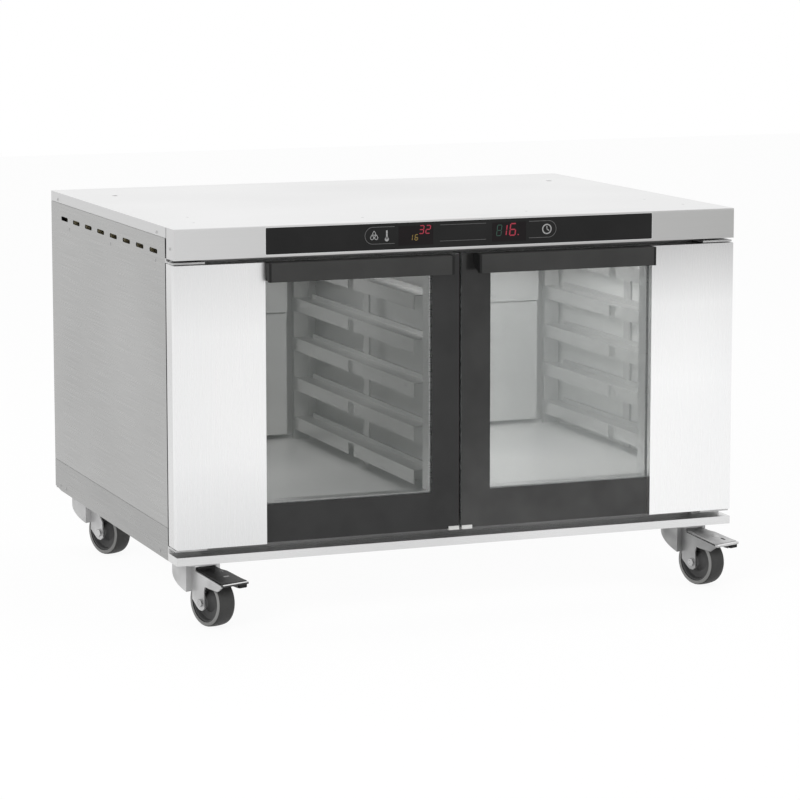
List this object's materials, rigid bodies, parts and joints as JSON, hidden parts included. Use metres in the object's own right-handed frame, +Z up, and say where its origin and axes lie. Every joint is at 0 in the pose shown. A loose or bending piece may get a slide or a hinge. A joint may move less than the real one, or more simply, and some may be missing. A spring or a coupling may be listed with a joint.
{
  "type": "proofing cabinet",
  "caption": "Low stainless proofing cabinet on braked swivel casters: hinged glazed doors, tray racks, circulation fans and a black touch control strip",
  "frame": {"origin": "on the floor under the middle of the footprint, brake pedals and cable gland included", "axes": "+X to the right when facing the doors, +Y to the back, +Z up"},
  "size_m": [0.9671, 0.7884, 0.632],
  "materials": {
    "outer_steel": "satin stainless sheet",
    "door_steel": "bright stainless sheet",
    "inner_steel": "satin stainless sheet",
    "rack_steel": "folded stainless sheet",
    "mineral_wool": "pressed fibre slab",
    "heater_sheath": "heat-tinted steel tube",
    "fan_aluminium": "spun and pressed",
    "motor_enamel": "black enamel",
    "panel_gloss": "gloss black",
    "display_lens": "dark tinted",
    "circuit_board": "solder mask green",
    "door_glass": "tempered, black printed border",
    "door_gasket": "moulded silicone",
    "handle_coat": "matt black powder coat",
    "cap_plastic": "moulded black",
    "clip_plastic": "moulded white",
    "hinge_steel": "stamped stainless",
    "screw_steel": "stainless screw heads",
    "gland_plastic": "black nylon",
    "caster_zinc": "bright zinc plated pressing",
    "hub_plastic": "grey nylon wheel centre",
    "tyre_rubber": "grey non-marking rubber",
    "pedal_black": "black coated steel",
    "pedal_steel": "bright zinc plated pressing"
  },
  "bodies": {
    "cabinet": {"base_tray": "outer_steel", "cable_gland": "gland_plastic", "caster_plates": "caster_zinc", "cavity_liner": "inner_steel", "column_divider": "inner_steel", "control_board": "circuit_board", "control_overlay": "panel_gloss", "display_lenses": "display_lens", "duct_covers": "inner_steel", "fan_motors": "motor_enamel", "front_frame": "inner_steel", "heating_elements": "heater_sheath", "hinge_brackets": "hinge_steel", "insulation": "mineral_wool", "left_side_panel": "outer_steel", "left_skirt": "outer_steel", "left_tray_rails": "rack_steel", "panel_screws": "screw_steel", "rack_frames": "rack_steel", "rear_panel": "outer_steel", "right_side_panel": "outer_steel", "right_skirt": "outer_steel", "right_tray_rails": "rack_steel", "top_cover": "outer_steel"},
    "left_door": {"left_door_frame": "inner_steel", "left_door_glass": "door_glass", "left_door_cover": "door_steel", "left_door_handle": "handle_coat", "left_handle_caps": "cap_plastic", "left_door_gasket": "door_gasket", "left_hinge_pins": "hinge_steel", "left_glass_clip": "clip_plastic"},
    "left_fan_rotor": {"left_fan": "fan_aluminium"},
    "right_door": {"right_door_frame": "inner_steel", "right_door_glass": "door_glass", "right_door_cover": "door_steel", "right_door_handle": "handle_coat", "right_handle_caps": "cap_plastic", "right_door_gasket": "door_gasket", "right_hinge_pins": "hinge_steel", "right_glass_clip": "clip_plastic"},
    "right_fan_rotor": {"right_fan": "fan_aluminium"},
    "front_left_swivel": {"front_left_fork": "caster_zinc", "front_left_axle": "caster_zinc"},
    "front_left_wheel": {"front_left_hub": "hub_plastic", "front_left_tyre": "tyre_rubber"},
    "front_left_brake": {"front_left_pedal": "pedal_black"},
    "front_right_swivel": {"front_right_fork": "caster_zinc", "front_right_axle": "caster_zinc"},
    "front_right_wheel": {"front_right_hub": "hub_plastic", "front_right_tyre": "tyre_rubber"},
    "front_right_brake": {"front_right_pedal": "pedal_steel"},
    "rear_left_swivel": {"rear_left_fork": "caster_zinc", "rear_left_axle": "caster_zinc"},
    "rear_left_wheel": {"rear_left_hub": "hub_plastic", "rear_left_tyre": "tyre_rubber"},
    "rear_right_swivel": {"rear_right_fork": "caster_zinc", "rear_right_axle": "caster_zinc"},
    "rear_right_wheel": {"rear_right_hub": "hub_plastic", "rear_right_tyre": "tyre_rubber"}
  },
  "joints": [
    {"name": "left_door_hinge", "type": "hinge", "parent": "cabinet", "child": "left_door", "pos_m": [-0.473, -0.3238, 0.3525], "axis": [0, 0, -1], "range_deg": [0, 110]},
    {"name": "left_fan_spin", "type": "hinge", "parent": "cabinet", "child": "left_fan_rotor", "pos_m": [-0.244, 0.3315, 0.469], "axis": [0, 1, 0], "continuous": true},
    {"name": "right_door_hinge", "type": "hinge", "parent": "cabinet", "child": "right_door", "pos_m": [0.473, -0.3238, 0.3525], "axis": [0, 0, 1], "range_deg": [0, 110]},
    {"name": "right_fan_spin", "type": "hinge", "parent": "cabinet", "child": "right_fan_rotor", "pos_m": [0.244, 0.3315, 0.469], "axis": [0, 1, 0], "continuous": true},
    {"name": "front_left_swivel_turn", "type": "hinge", "parent": "cabinet", "child": "front_left_swivel", "pos_m": [-0.428, -0.2888, 0.0985], "axis": [0, 0, 1], "continuous": true},
    {"name": "front_left_wheel_spin", "type": "hinge", "parent": "front_left_swivel", "child": "front_left_wheel", "pos_m": [-0.41398, -0.32839, 0.04], "axis": [-0.9426, -0.3338, 0], "continuous": true},
    {"name": "front_left_brake_pedal", "type": "hinge", "parent": "front_left_swivel", "child": "front_left_brake", "pos_m": [-0.41264, -0.33216, 0.082], "axis": [-0.9426, -0.3338, 0], "range_deg": [0, 8]},
    {"name": "front_right_swivel_turn", "type": "hinge", "parent": "cabinet", "child": "front_right_swivel", "pos_m": [0.428, -0.2888, 0.0985], "axis": [0, 0, 1], "continuous": true},
    {"name": "front_right_wheel_spin", "type": "hinge", "parent": "front_right_swivel", "child": "front_right_wheel", "pos_m": [0.44202, -0.32839, 0.04], "axis": [-0.9426, -0.3338, 0], "continuous": true},
    {"name": "front_right_brake_pedal", "type": "hinge", "parent": "front_right_swivel", "child": "front_right_brake", "pos_m": [0.44336, -0.33216, 0.082], "axis": [-0.9426, -0.3338, 0], "range_deg": [0, 8]},
    {"name": "rear_left_swivel_turn", "type": "hinge", "parent": "cabinet", "child": "rear_left_swivel", "pos_m": [-0.428, 0.3102, 0.0985], "axis": [0, 0, 1], "continuous": true},
    {"name": "rear_left_wheel_spin", "type": "hinge", "parent": "rear_left_swivel", "child": "rear_left_wheel", "pos_m": [-0.41092, 0.27183, 0.04], "axis": [-0.9135, -0.4067, 0], "continuous": true},
    {"name": "rear_right_swivel_turn", "type": "hinge", "parent": "cabinet", "child": "rear_right_swivel", "pos_m": [0.428, 0.3102, 0.0985], "axis": [0, 0, 1], "continuous": true},
    {"name": "rear_right_wheel_spin", "type": "hinge", "parent": "rear_right_swivel", "child": "rear_right_wheel", "pos_m": [0.44508, 0.27183, 0.04], "axis": [-0.9135, -0.4067, 0], "continuous": true}
  ]
}
